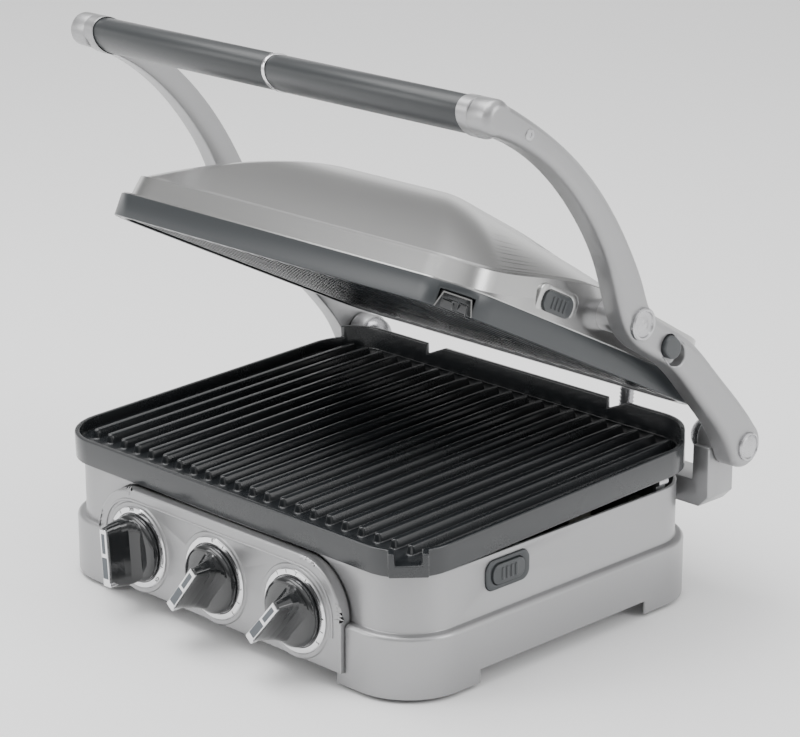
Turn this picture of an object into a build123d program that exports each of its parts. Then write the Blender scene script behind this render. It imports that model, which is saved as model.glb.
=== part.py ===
"""Electric panini press with two ribbed grill plates and a floating lid on a pair of curved arms.

Millimetres. +Z is up, the front with the three knobs faces -Y and +X is to the right.
Z = 0 is the surface that the press stands on. The lid is modelled standing open.
"""
from build123d import *
from math import cos, radians, sin, tan
import os

os.makedirs("parts", exist_ok=True)

# ---------------------------------------------------------------- driving dimensions
# general
clearance = 0.4             # gap between pieces that only pass each other
running_fit = 0.05          # radial play of a shaft in its bore
sheet = 1.5                 # pressed steel thickness

# base housing
base_half_width = 153.8
base_front = -126.0
base_rear = 129.0
base_corner = 38.0
front_bow = 3.0             # how far the front curves forward at its middle
step_inset = 5.2            # upper body set in from the skirt
foot_leg_z = 2.0            # underside of the four housing legs
skirt_bottom_z = 10.0       # skirt edge between the legs
step_z = 39.0
lip_z = 73.2
housing_wall = 2.0
leg_length_x = 56.0         # leg along the front and rear edges, from the corner
leg_length_y = 58.0         # leg along the side edges
pad_radius = 9.0
pad_inset = 24.0
cover_screw_radius = 3.4
cover_screw_head = 1.6
cover_screw_gap = 26.0      # from each foot's centre towards the middle

# control panel, dials and knobs
panel_front = -128.0
panel_half_width = 104.0
panel_top_z = 72.0
panel_corner = 32.0
panel_wall = 2.5
panel_depth = 8.0
knob_pitch = 68.0
knob_z = 37.5
ring_radius = 25.0
ring_wall = 4.0
ring_thickness = 1.2
knob_radius = 20.6
knob_disc = 6.0
knob_height = 25.5          # from the panel face to the front of the grip bar
knob_bar_length = 42.0
knob_bar_width = 13.0
knob_bar_taper = 8.5
trim_length = 33.0
trim_width = 5.4
trim_depth = 1.2
shaft_radius = 3.0
shaft_length = 26.0
shaft_grip = 12.0           # how far the shaft reaches into its knob
control_width = 34.0        # thermostats and selector switch behind the panel
control_height = 30.0
control_depth = 22.0
control_gap = 4.0           # from the panel's rear edge
knob_angles = (94.0, 52.0, 49.0)    # direction of each grip bar above horizontal

# lower grill plate, sloping down to its front drain
plate_half_width = 152.0
plate_front = -123.0
plate_depth = 249.0
plate_corner = 32.0
plate_slope = 2.0
rim_front_z = 89.5
rim_height = 16.0
rim_wall = 3.0
floor_depth = 7.0           # rim top down to the cooking floor
floor_thickness = 3.0
ridge_count = 22
ridge_pitch = 12.8
ridge_width = 6.4
ridge_height = 5.4
ridge_front_gap = 17.0
ridge_rear_gap = 12.0
ridge_taper = 14.0
back_wall_height = 7.5
back_wall_reach = 14.0
notch_x = (-78.0, 76.0)     # upright side of each sawtooth notch in the back wall
notch_ramp = 18.0
spout_width = 22.0
spout_channel = 15.0
spout_reach = 4.5
clip_y = 93.0
clip_width = 8.0
clip_sheet = 2.4
clip_height = 24.0
clip_nose = 2.6

# hinge and arms
hinge_behind_base = 10.5
hinge_z = 94.0
pivot_forward = 98.5        # lid pivot ahead of the hinge
pivot_rise = 96.2           # lid pivot above the hinge
handle_forward = 211.2      # handle axis ahead of the hinge
handle_rise = 229.0
arm_inner_x = 156.0
arm_outer_x = 171.5
arm_edge_outer = 5.0
arm_edge_inner = 2.5
hinge_end_radius = 13.8
hinge_pin_radius = 4.0
lid_pin_radius = 4.5
hinge_cap_radius = 8.5
lid_cap_radius = 9.4
cap_height = 2.5
# arm stations: share of the straight run, bow behind it, half width
arm_lower = ((0.136, 4.0, 11.9), (0.41, 6.5, 10.8), (0.71, 6.3, 10.2), (1.0, 0.8, 11.1))
arm_upper = ((0.086, 4.9, 10.8), (0.23, 13.0, 9.3), (0.448, 18.6, 8.2), (0.645, 17.6, 7.6),
             (0.86, 9.5, 7.6), (1.0, 0.0, 9.0))
grip_long = 14.5            # half length of the grip's oval section
grip_short = 9.7
grip_lean = 33.0            # how far the oval's long axis dips towards the back
grip_ring_width = 2.4
grip_ring_proud = 0.5
core_radius = 5.0
handle_screw_radius = 3.2
handle_screw_back = 0.89    # share of the upper arm at which the screw sits

# hinge bracket on the rear of the base
bracket_inner_x = 143.0
bracket_side_gap = 0.6
bracket_root_x = 94.0
bracket_beam_low = 54.0
bracket_beam_high = 70.0
bracket_behind_base = 18.0
bracket_screw_radius = 3.4
knuckle_radius = 12.5
dome_radius = 11.5

# lid, measured from the lid pivot in the lid's own plane
lid_tilt = 26.6
lid_half_width = 150.0
lid_front = -128.0
lid_rear = 112.0
lid_corner = 30.0
lid_bottom = -30.4
band_height = 14.2
band_wall = 3.0
shell_inset = 3.6
shell_taper = 3.0
# cover levels from the crease up: inset, height at the lid's front, climb to the rear in degrees
crown_steps = ((0.0, -3.0, 4.0), (20.0, 11.9, -0.4), (45.0, 28.7, -3.5), (80.0, 48.4, -7.2))
upper_floor_depth = 6.0
boss_reach = 20.0           # lid pivot bosses, in from the lid's side
band_shelf = 7.0            # inner shelf that carries the cover
band_shelf_thickness = 2.5
upper_spout_width = 20.0
upper_ridge_edge = 12.0     # least distance of a ridge's middle from the lid's side

# plate release buttons
button_length = 25.4
button_height = 11.9
button_travel = 3.0
bezel_length = 35.0
bezel_height = 18.0
bezel_corner = 6.0
bezel_depth = 6.0
button_depth = 8.0
latch_length = 18.0
latch_thickness = 4.0
lower_latch_reach = 10.0
upper_latch_reach = 8.0
lower_button_y = -42.0
lower_button_z = 60.5
upper_button_y = -44.0
upper_button_z = -5.6
button_proud = 2.6
bezel_proud = 0.8
grip_bar_count = 4

# hinge release slider on the right arm
slider_run = 31.0           # from the lid pivot towards the hinge
slider_offset = 4.0
slider_length = 15.0
slider_width = 12.0
slider_travel = 8.0
slider_pocket_depth = 7.0

# rear fittings
conduit_x = 70.0
conduit_radius = 4.6
conduit_back = 23.0         # conduit axis behind the rear wall where it leaves the base
conduit_block = 15.0        # width and height of the elbow block on the base
conduit_rise = 26.0         # straight stretch above that block
gland_radius = 7.0
lid_gland_height = -7.0     # above the lid pivot's plane, in the lid's own frame
lid_gland_reach = 5.0       # mouth of the lid gland behind the cover
conduit_straight = 9.5      # from that mouth to the conduit's bend
cord_gland_x = 104.0
cord_gland_z = 44.0
cord_radius = 3.6
cord_gland_radius = 6.2
cord_gland_length = 25.0
cord_gland_ribs = 5
cord_gland_rib_pitch = 3.4
terminal_size = (38.0, 20.0, 16.0)
terminal_gap = 24.0         # ahead of the rear wall

# heating elements
element_radius = 3.3
element_half_width = 112.0
upper_element_margin = 38.0 # upper element, in from the lid's side
element_bend = 24.0
element_tail = 30.0         # straight ends that reach back to the rear wall
reflector_height = 6.0
reflector_drop = 14.0       # lower reflector's underside below the plate's underside
reflector_rise = 3.0        # upper reflector above the band's shelf
reflector_margin = 14.0     # reflector beyond the element, and in from the plate's edge
reflector_corner = 20.0

# ---------------------------------------------------------------- derived places
hinge_y = base_rear + hinge_behind_base
pivot_y = hinge_y - pivot_forward
pivot_z = hinge_z + pivot_rise
handle_y = hinge_y - handle_forward
handle_z = hinge_z + handle_rise
step_half_width = base_half_width - step_inset
pin_end_x = arm_outer_x - 1.0
bracket_outer_x = arm_inner_x - bracket_side_gap
bracket_rear_y = base_rear + bracket_behind_base
plate_plane = Plane(
    origin=(0, plate_front, rim_front_z),
    x_dir=(1, 0, 0),
    z_dir=(0, -sin(radians(plate_slope)), cos(radians(plate_slope))),
)
lid_plane = Plane(
    origin=(0, pivot_y, pivot_z),
    x_dir=(1, 0, 0),
    z_dir=(0, sin(radians(lid_tilt)), cos(radians(lid_tilt))),
)
lid_side = Plane(origin=lid_plane.origin, x_dir=lid_plane.y_dir, z_dir=(1, 0, 0))
arm_direction = Vector(0, pivot_forward, -pivot_rise).normalized()
arm_normal = Vector(0, pivot_rise, pivot_forward).normalized()


def save(piece, name):
    """Label a finished piece and write it as its own node."""
    piece.part.label = name
    export_step(piece.part, f"parts/{name}.step")


def front_plane(y):
    """Sketch plane facing the front, with its normal towards -Y."""
    return Plane.XZ.offset(-y)


def rounded(half_width, front, rear, corner):
    """Rounded rectangle between two Y values, centred on X = 0."""
    with BuildSketch() as plan:
        with Locations((0, (front + rear) / 2)):
            RectangleRounded(2 * half_width, rear - front, corner)
    return plan.sketch


# ---------------------------------------------------------------- base housing
def base_plan(inset):
    """Plan of the base, moved in by inset: straight sides, bowed front, round corners."""
    half = base_half_width - inset
    front = base_front + inset
    rear = base_rear - inset
    with BuildSketch() as plan:
        with BuildLine():
            nose = ThreePointArc((-half, front + front_bow), (0, front), (half, front + front_bow))
            Polyline(nose @ 1, (half, rear), (-half, rear), nose @ 0)
        make_face()
        fillet(plan.vertices(), base_corner - inset)
    return plan.sketch


def panel_outline(grow):
    """Front view of the control panel, with large round upper corners."""
    half = panel_half_width + grow
    top = panel_top_z + grow
    radius = panel_corner + grow
    with BuildSketch() as outline:
        with BuildLine():
            Polyline((-half, top), (-half, skirt_bottom_z), (half, skirt_bottom_z), (half, top), close=True)
        make_face()
        fillet(outline.vertices().group_by(Axis.Y)[-1], radius)
    return outline.sketch


with BuildPart() as housing:
    with BuildSketch(Plane.XY.offset(foot_leg_z)):
        add(base_plan(0))
    extrude(amount=step_z - foot_leg_z)
    shoulder = housing.edges().group_by(Axis.Z)[-1]
    fillet(shoulder, 3.0)
    with BuildSketch(Plane.XY.offset(foot_leg_z)):
        add(base_plan(step_inset))
    extrude(amount=lip_z - foot_leg_z)
    with BuildSketch(Plane.XY.offset(foot_leg_z)):
        add(base_plan(housing_wall))
    extrude(amount=step_z - housing_wall - 2 - foot_leg_z, mode=Mode.SUBTRACT)
    with BuildSketch(Plane.XY.offset(foot_leg_z)):
        add(base_plan(step_inset + housing_wall))
    extrude(amount=lip_z - foot_leg_z, mode=Mode.SUBTRACT)
    # gaps between the corner legs
    gap_height = skirt_bottom_z - foot_leg_z
    mid_y = (base_front + base_rear) / 2
    base_depth = base_rear - base_front
    with Locations((0, mid_y, foot_leg_z + gap_height / 2)):
        Box(2 * (base_half_width - leg_length_x), base_depth + 20, gap_height, mode=Mode.SUBTRACT)
        Box(2 * base_half_width + 20, base_depth - 2 * leg_length_y, gap_height, mode=Mode.SUBTRACT)
    # window for the control panel
    with BuildSketch(front_plane(base_front + step_inset + housing_wall + 1)):
        add(panel_outline(clearance))
    extrude(amount=20, mode=Mode.SUBTRACT)
    # window for the release button's bezel
    with BuildSketch(Plane.YZ.offset(step_half_width - housing_wall - 1)):
        with Locations((lower_button_y, lower_button_z)):
            RectangleRounded(bezel_length, bezel_height, bezel_corner)
    extrude(amount=housing_wall + 2, mode=Mode.SUBTRACT)
    # holes for the cord gland and the conduit gland in the rear wall
    with BuildSketch(front_plane(base_rear + 1)):
        with Locations((cord_gland_x, cord_gland_z)):
            Circle(cord_gland_radius)
        with Locations((conduit_x, (step_z + lip_z) / 2)):
            Circle(conduit_radius)
    extrude(amount=step_inset + housing_wall + 2, mode=Mode.SUBTRACT)
save(housing, "base_housing")

cover_z = skirt_bottom_z + 1
with BuildPart() as bottom_cover:
    with BuildSketch(Plane.XY.offset(cover_z)):
        add(base_plan(step_inset + housing_wall + clearance))
        with Locations((0, mid_y)):
            with GridLocations(60, 12, 3, 7):
                SlotOverall(42, 5, mode=Mode.SUBTRACT)
    extrude(amount=2)
save(bottom_cover, "base_bottom_cover")

pad_x = base_half_width - pad_inset
with BuildPart() as pads:
    with Locations((0, mid_y, 0)):
        with GridLocations(2 * pad_x, base_depth - 2 * pad_inset, 2, 2):
            Cylinder(pad_radius, cover_z, align=(Align.CENTER, Align.CENTER, Align.MIN))
save(pads, "rubber_feet")

screw_x = pad_x - cover_screw_gap
with BuildPart() as bottom_screws:
    with Locations((0, mid_y, cover_z - cover_screw_head)):
        with GridLocations(2 * screw_x, base_depth - 2 * pad_inset, 2, 2):
            Cylinder(cover_screw_radius, cover_screw_head, align=(Align.CENTER, Align.CENTER, Align.MIN))
save(bottom_screws, "bottom_cover_screws")

# ---------------------------------------------------------------- control panel, dials, switches
knob_x = (-knob_pitch, 0.0, knob_pitch)
knob_names = ("left", "centre", "right")
with BuildPart() as control_panel:
    with BuildSketch(front_plane(panel_front + panel_depth)):
        add(panel_outline(0))
    extrude(amount=panel_depth)
    fillet(control_panel.faces().sort_by(Axis.Y)[0].edges(), 1.2)
    with BuildSketch(front_plane(panel_front + panel_depth)):
        add(panel_outline(-panel_wall))
    extrude(amount=panel_depth - panel_wall, mode=Mode.SUBTRACT)
    for x in knob_x:
        with BuildSketch(front_plane(panel_front + panel_depth)):
            with Locations((x, knob_z)):
                Circle(shaft_radius + clearance)
        extrude(amount=panel_depth, mode=Mode.SUBTRACT)
save(control_panel, "control_panel")

for x, side in zip(knob_x, knob_names):
    with BuildPart() as dial:
        with BuildSketch(front_plane(panel_front)):
            with Locations((x, knob_z)):
                Circle(ring_radius)
                Circle(ring_radius - ring_wall, mode=Mode.SUBTRACT)
        extrude(amount=ring_thickness)
    save(dial, f"dial_ring_{side}")

switch_y = panel_front + panel_depth + control_gap
control_names = ("griddle_thermostat", "selector_switch", "grill_thermostat")
for x, name in zip(knob_x, control_names):
    with BuildPart() as control:
        with BuildSketch(front_plane(switch_y + control_depth)):
            with Locations((x, knob_z)):
                RectangleRounded(control_width, control_height, 3)
        extrude(amount=control_depth)
        with BuildSketch(front_plane(switch_y + control_depth)):
            with Locations((x, knob_z)):
                Circle(shaft_radius + running_fit)
        extrude(amount=control_depth, mode=Mode.SUBTRACT)
    save(control, name)

with BuildPart() as control_bracket:
    with BuildSketch(front_plane(switch_y)):
        with Locations((0, knob_z)):
            RectangleRounded(2 * knob_pitch + control_width + 10, control_height + 6, 3)
        for x in knob_x:
            with Locations((x, knob_z)):
                Circle(shaft_radius + 1, mode=Mode.SUBTRACT)
    extrude(amount=sheet)
save(control_bracket, "control_bracket")

for x, side, angle in zip(knob_x, knob_names, knob_angles):
    knob_back = panel_front - clearance
    bar_front = panel_front - knob_height
    with BuildPart() as knob:
        with BuildSketch(front_plane(knob_back)):
            with Locations((x, knob_z)):
                Circle(knob_radius)
        extrude(amount=knob_disc, taper=4)
        fillet(knob.faces().sort_by(Axis.Y)[0].edges(), 1.5)
        with BuildSketch(front_plane(knob_back - 1)):
            with Locations(Location((x, knob_z), angle)):
                RectangleRounded(knob_bar_length, knob_bar_width, 5)
        extrude(amount=knob_back - 1 - bar_front, taper=knob_bar_taper)
        fillet(knob.faces().sort_by(Axis.Y)[0].edges(), 0.8)
        with BuildSketch(front_plane(bar_front)):
            with Locations(Location((x, knob_z), angle)):
                SlotOverall(trim_length, trim_width)
        extrude(amount=-trim_depth, mode=Mode.SUBTRACT)
        with BuildSketch(front_plane(knob_back)):
            with Locations((x, knob_z)):
                Circle(shaft_radius)
        extrude(amount=shaft_grip, mode=Mode.SUBTRACT)
    save(knob, f"knob_{side}")
    with BuildPart() as trim:
        with BuildSketch(front_plane(bar_front + trim_depth)):
            with Locations(Location((x, knob_z), angle)):
                SlotOverall(trim_length, trim_width)
        extrude(amount=trim_depth)
    save(trim, f"knob_{side}_trim")
    with BuildPart() as shaft:
        with BuildSketch(front_plane(knob_back - shaft_grip)):
            with Locations((x, knob_z)):
                Circle(shaft_radius)
        extrude(amount=-(shaft_length + shaft_grip))
    save(shaft, f"knob_{side}_shaft")


# ---------------------------------------------------------------- lower grill plate
def plate_plan(inset):
    """Plan of the lower plate in its own plane, moved in by inset."""
    return rounded(plate_half_width - inset, inset, plate_depth - inset, plate_corner - inset)


corner_cut = plate_corner * (1 - cos(radians(45)))
spout_x = plate_half_width - corner_cut
spout_y = corner_cut
wall_view = Plane(
    origin=plate_plane.from_local_coords((0, plate_depth + 1, 0)),
    x_dir=(1, 0, 0),
    z_dir=plate_plane.y_dir * -1,
)
ridge_length = plate_depth - ridge_front_gap - ridge_rear_gap
ridge_middle = ridge_front_gap + ridge_length / 2
with BuildPart() as lower_plate:
    with BuildSketch(plate_plane.offset(-rim_height)):
        add(plate_plan(0))
    extrude(amount=rim_height)
    # lip of the corner spout
    with BuildSketch(plate_plane.offset(-rim_height + 2)):
        with Locations((spout_x, spout_y)):
            Rectangle(2 * spout_reach, spout_width, rotation=-45)
    extrude(amount=rim_height - 2)
    # raised back wall
    with BuildSketch(plate_plane):
        add(plate_plan(0))
        with Locations((0, (plate_depth - back_wall_reach) / 2)):
            Rectangle(2 * plate_half_width, plate_depth - back_wall_reach, mode=Mode.SUBTRACT)
    extrude(amount=back_wall_height)
    # cooking tray above and hollow underside below the floor
    with BuildSketch(plate_plane.offset(-floor_depth)):
        add(plate_plan(rim_wall))
    extrude(amount=floor_depth + back_wall_height, mode=Mode.SUBTRACT)
    with BuildSketch(plate_plane.offset(-rim_height)):
        add(plate_plan(rim_wall))
    extrude(amount=rim_height - floor_depth - floor_thickness, mode=Mode.SUBTRACT)
    # sawtooth notches in the back wall
    for x in notch_x:
        with BuildSketch(wall_view):
            with BuildLine():
                Polyline(
                    (x, back_wall_height + 1), (x, 0.5),
                    (x + notch_ramp, back_wall_height + 1), close=True,
                )
            make_face()
        extrude(amount=rim_wall + 2, mode=Mode.SUBTRACT)
    # spout channel through the rim
    with BuildSketch(plate_plane.offset(-floor_depth)):
        with Locations((spout_x, spout_y)):
            Rectangle(26, spout_channel, rotation=-45)
    extrude(amount=floor_depth + 1, mode=Mode.SUBTRACT)
    # ribs
    with BuildSketch(plate_plane.offset(-floor_depth)):
        with Locations((0, ridge_middle)):
            with GridLocations(ridge_pitch, 0, ridge_count, 1):
                SlotOverall(ridge_length, ridge_width, rotation=90)
    extrude(amount=ridge_height, taper=ridge_taper)
save(lower_plate, "lower_grill_plate")


def element_loop(plane, half, front, rear):
    """Tubular element bent into an open loop on a plane, with its two ends at the rear."""
    tail = rear - element_tail
    with BuildPart() as element:
        with BuildLine(plane) as path:
            FilletPolyline(
                (-element_bend, rear), (-element_bend, tail), (-half, tail), (-half, front),
                (half, front), (half, tail), (element_bend, tail), (element_bend, rear),
                radius=element_bend / 2,
            )
        with BuildSketch(Plane(origin=path.line @ 0, z_dir=path.line % 0)):
            Circle(element_radius)
        sweep()
    return element


lower_element = element_loop(plate_plane.offset(-rim_height), element_half_width, 30, plate_depth - 22)
save(lower_element, "lower_heating_element")



def reflector_plan(element_half, front, rear, inset):
    """Plan of a heat reflector between two local Y values, moved in by inset."""
    half = element_half + reflector_margin - inset
    gap = reflector_margin + inset
    return rounded(half, front + gap, rear - gap, reflector_corner - inset)


lower_reflector_plane = plate_plane.offset(-rim_height - reflector_drop)
with BuildPart() as lower_reflector:
    with BuildSketch(lower_reflector_plane):
        add(reflector_plan(element_half_width, 0, plate_depth, 0))
    extrude(amount=reflector_height)
    with BuildSketch(lower_reflector_plane.offset(sheet)):
        add(reflector_plan(element_half_width, 0, plate_depth, sheet))
    extrude(amount=reflector_height, mode=Mode.SUBTRACT)
save(lower_reflector, "lower_heat_reflector")

clip_x = step_half_width - housing_wall - clip_nose - clearance
with BuildPart() as plate_clips:
    for side in (-1, 1):
        with BuildSketch(front_plane(clip_y + clip_width / 2)):
            with Locations((side * clip_x, lip_z - 4)):
                Rectangle(clip_sheet, clip_height)
            with Locations((side * (clip_x + clip_sheet / 2), lip_z + 4)):
                Circle(clip_nose)
        extrude(amount=clip_width)
save(plate_clips, "lower_plate_clips")

# ---------------------------------------------------------------- hinge brackets, pins and domes
rear_wall_y = base_rear - step_inset
for side, name in ((-1, "left"), (1, "right")):
    with BuildPart() as bracket:
        # beam along the rear wall, reaching out past the side of the base
        with BuildSketch(front_plane(bracket_rear_y)):
            with BuildLine():
                Polyline(
                    (side * bracket_root_x, bracket_beam_low),
                    (side * (bracket_outer_x - 7), bracket_beam_low),
                    (side * bracket_outer_x, bracket_beam_low + 7),
                    (side * bracket_outer_x, hinge_z - 2),
                    (side * bracket_inner_x, hinge_z - 2),
                    (side * bracket_inner_x, bracket_beam_high),
                    (side * bracket_root_x, bracket_beam_high),
                    close=True,
                )
            make_face()
        extrude(amount=bracket_rear_y - rear_wall_y)
        with BuildSketch(Plane.YZ.offset(side * bracket_inner_x)):
            with Locations((hinge_y, hinge_z)):
                Circle(knuckle_radius)
        extrude(amount=side * (bracket_outer_x - bracket_inner_x))
        with BuildSketch(Plane.YZ.offset(side * (bracket_inner_x + 2))):
            with Locations((hinge_y, hinge_z)):
                Circle(hinge_pin_radius)
        extrude(amount=side * 20, mode=Mode.SUBTRACT)
    save(bracket, f"hinge_bracket_{name}")
    with BuildPart() as dome:
        with Locations((side * bracket_inner_x, hinge_y, hinge_z)):
            Sphere(dome_radius)
        half_space = Plane.YZ.offset(side * bracket_inner_x)
        split(bisect_by=half_space, keep=Keep.BOTTOM if side > 0 else Keep.TOP)
    save(dome, f"hinge_dome_{name}")

with BuildPart() as hinge_pins:
    for side in (-1, 1):
        with BuildSketch(Plane.YZ.offset(side * (bracket_inner_x + 2))):
            with Locations((hinge_y, hinge_z)):
                Circle(hinge_pin_radius)
        extrude(amount=side * (pin_end_x - bracket_inner_x - 2))
save(hinge_pins, "hinge_pins")

bracket_screw_z = (bracket_beam_low + bracket_beam_high) / 2
with BuildPart() as bracket_screws:
    with BuildSketch(front_plane(bracket_rear_y + 1.2)):
        for side in (-1, 1):
            with Locations((side * (bracket_root_x + 14), bracket_screw_z)):
                with GridLocations(16, 0, 2, 1):
                    Circle(bracket_screw_radius)
    extrude(amount=1.2)
save(bracket_screws, "hinge_bracket_screws")

# ---------------------------------------------------------------- arms, handle and caps


def arm_edges():
    """Front and rear edge points of the arm in the YZ plane, hinge end first."""
    hinge = Vector(hinge_y, hinge_z)
    pivot = Vector(pivot_y, pivot_z)
    handle = Vector(handle_y, handle_z)
    stations = [(hinge, hinge_end_radius)]
    for start, end, shape in ((hinge, pivot, arm_lower), (pivot, handle, arm_upper)):
        run = end - start
        behind = Vector(run.Y, -run.X).normalized()
        for share, bow, half in shape:
            stations.append((start + run * share + behind * bow, half))
    front = []
    rear = []
    for i, (point, half) in enumerate(stations):
        before = stations[max(i - 1, 0)][0]
        after = stations[min(i + 1, len(stations) - 1)][0]
        along = (after - before).normalized()
        behind = Vector(along.Y, -along.X)
        rear.append(point + behind * half)
        front.append(point - behind * half)
    return front, rear, along


arm_front, arm_rear, arm_heading = arm_edges()
hinge_centre = Vector(hinge_y, hinge_z)
towards_lid = (Vector(pivot_y, pivot_z) - hinge_centre).normalized()
hinge_tip = hinge_centre - towards_lid * hinge_end_radius
handle_tip = Vector(handle_y, handle_z) + arm_heading * grip_long
screw_spot = Vector(pivot_y, pivot_z) + Vector(handle_y - pivot_y, handle_z - pivot_z) * handle_screw_back
screw_spot += Vector(handle_z - pivot_z, pivot_y - handle_y).normalized() * arm_upper[-2][1] * 0.8
slider_middle = Vector(0, pivot_y, pivot_z) + arm_direction * slider_run + arm_normal * slider_offset
slider_turn = -Vector(0, pivot_forward, 0).get_angle(arm_direction)

for side, name in ((-1, "left"), (1, "right")):
    with BuildPart() as arm:
        with BuildSketch(Plane.YZ.offset(side * arm_inner_x)):
            with BuildLine():
                Spline(*arm_front)
                Spline(*arm_rear)
                ThreePointArc(arm_front[0], hinge_tip, arm_rear[0])
                ThreePointArc(arm_front[-1], handle_tip, arm_rear[-1])
            make_face()
        extrude(amount=side * (arm_outer_x - arm_inner_x))
        faces = arm.faces().sort_by(Axis.X)
        outer = faces[-1] if side > 0 else faces[0]
        fillet(outer.edges(), arm_edge_outer)
        with BuildSketch(Plane.YZ.offset(side * (arm_inner_x - 1))):
            with Locations((hinge_y, hinge_z)):
                Circle(hinge_pin_radius + running_fit)
            with Locations((pivot_y, pivot_z)):
                Circle(lid_pin_radius)
            with Locations((handle_y, handle_z)):
                Circle(core_radius)
        extrude(amount=side * (pin_end_x - arm_inner_x + 1 + clearance / 2), mode=Mode.SUBTRACT)
        if side > 0:
            slot_plane = Plane.YZ.offset(arm_outer_x - slider_pocket_depth)
            with BuildSketch(slot_plane):
                middle = slider_middle + arm_direction * slider_travel / 2
                with Locations(Location((middle.Y, middle.Z), slider_turn)):
                    SlotOverall(slider_length + slider_travel + 1.2, slider_width + 1.2)
            extrude(amount=slider_pocket_depth + 1, mode=Mode.SUBTRACT)
    save(arm, f"arm_{name}")

for spot, radius, piece in (
    ((hinge_y, hinge_z), hinge_cap_radius, "hinge_caps"),
    ((pivot_y, pivot_z), lid_cap_radius, "lid_pivot_caps"),
):
    with BuildPart() as caps:
        for side in (-1, 1):
            with BuildSketch(Plane.YZ.offset(side * arm_outer_x)):
                with Locations(spot):
                    Circle(radius)
            extrude(amount=side * cap_height, taper=12)
    save(caps, piece)

with BuildPart() as lid_pins:
    for side in (-1, 1):
        with BuildSketch(Plane.YZ.offset(side * (lid_half_width - boss_reach + 4))):
            with Locations((pivot_y, pivot_z)):
                Circle(lid_pin_radius)
        extrude(amount=side * (pin_end_x - lid_half_width + boss_reach - 4))
save(lid_pins, "lid_pivot_pins")

with BuildPart() as handle_screws:
    for side in (-1, 1):
        with BuildSketch(Plane.YZ.offset(side * arm_outer_x)):
            with Locations((screw_spot.X, screw_spot.Y)):
                Circle(handle_screw_radius)
        extrude(amount=side * 0.8)
save(handle_screws, "handle_screws")


def grip_section(grow):
    """Oval section of the handle in the YZ plane, leaning down towards the back."""
    with BuildSketch() as section:
        with Locations(Location((handle_y, handle_z), -grip_lean)):
            Ellipse(grip_long + grow, grip_short + grow)
        if grow <= 0:
            with Locations((handle_y, handle_z)):
                Circle(core_radius, mode=Mode.SUBTRACT)
    return section.sketch


half_ring = grip_ring_width / 2
for side, name in ((-1, "left"), (1, "right")):
    with BuildPart() as grip:
        with BuildSketch(Plane.YZ.offset(side * half_ring)):
            add(grip_section(0))
        extrude(amount=side * (arm_inner_x - half_ring))
    save(grip, f"handle_grip_{name}")

with BuildPart() as grip_ring:
    with BuildSketch(Plane.YZ.offset(-half_ring)):
        add(grip_section(grip_ring_proud))
        with Locations((handle_y, handle_z)):
            Circle(core_radius, mode=Mode.SUBTRACT)
    extrude(amount=grip_ring_width)
save(grip_ring, "handle_centre_ring")

with BuildPart() as core:
    with BuildSketch(Plane.YZ.offset(-arm_inner_x - 8)):
        with Locations((handle_y, handle_z)):
            Circle(core_radius)
    extrude(amount=2 * (arm_inner_x + 8))
save(core, "handle_core_rod")

with BuildPart() as slider:
    with BuildSketch(Plane.YZ.offset(arm_outer_x - slider_pocket_depth + clearance)):
        with Locations(Location((slider_middle.Y, slider_middle.Z), slider_turn)):
            SlotOverall(slider_length, slider_width)
    extrude(amount=slider_pocket_depth - clearance + cap_height)
    fillet(slider.faces().sort_by(Axis.X)[-1].edges(), 1.2)
save(slider, "hinge_release_slider")


# ---------------------------------------------------------------- lid
def lid_plan(inset):
    """Plan of the lid in its own plane, moved in by inset."""
    return rounded(lid_half_width - inset, lid_front + inset, lid_rear - inset, max(lid_corner - inset, 6))


shell_bottom = lid_bottom + band_height


def crown_level(step, grow):
    """Closed outline of the cover at one of its levels, moved in by grow on its own tilted plane."""
    inset, height, climb = step
    level = Plane(
        origin=lid_plane.from_local_coords((0, lid_front, height - grow)),
        x_dir=(1, 0, 0),
        z_dir=lid_plane.z_dir * cos(radians(climb)) - lid_plane.y_dir * sin(radians(climb)),
    )
    depth = (lid_rear - lid_front) / cos(radians(climb))
    edge = shell_inset + shell_taper + inset + grow
    with BuildSketch(level) as outline:
        add(rounded(lid_half_width - edge, edge, depth - edge, max(lid_corner - edge, 8)))
    return outline.sketch


def lid_cover(grow):
    """Solid form of the lid cover: tapered side wall and stepped crown, moved in by grow."""
    with BuildSketch(lid_plane.offset(shell_bottom)) as foot:
        add(lid_plan(shell_inset + grow))
    levels = [foot.sketch] + [crown_level(step, grow) for step in crown_steps]
    with BuildPart() as cover:
        loft(levels, ruled=True)
    return cover.part


lid_boss_radius = 9.0
lid_gland_plane = Plane(
    origin=lid_plane.from_local_coords((conduit_x, lid_rear, lid_gland_height)),
    x_dir=(1, 0, 0),
    z_dir=lid_plane.y_dir,
)
cover_outer = lid_cover(0)
cover_inner = lid_cover(sheet)
with BuildPart() as lid_shell:
    add(cover_outer)
    add(cover_inner, mode=Mode.SUBTRACT)
    with BuildSketch(Plane.YZ.offset(-lid_half_width - 5)):
        with Locations((pivot_y, pivot_z)):
            Circle(lid_boss_radius + clearance)
    extrude(amount=2 * lid_half_width + 10, mode=Mode.SUBTRACT)
    with BuildSketch(lid_side.offset(lid_half_width - boss_reach + 4)):
        with Locations((upper_button_y, upper_button_z)):
            RectangleRounded(bezel_length, bezel_height, bezel_corner)
    extrude(amount=20, mode=Mode.SUBTRACT)
    with BuildSketch(lid_gland_plane.offset(-20)):
        Circle(gland_radius)
    extrude(amount=30, mode=Mode.SUBTRACT)
save(lid_shell, "lid_shell")

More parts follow.
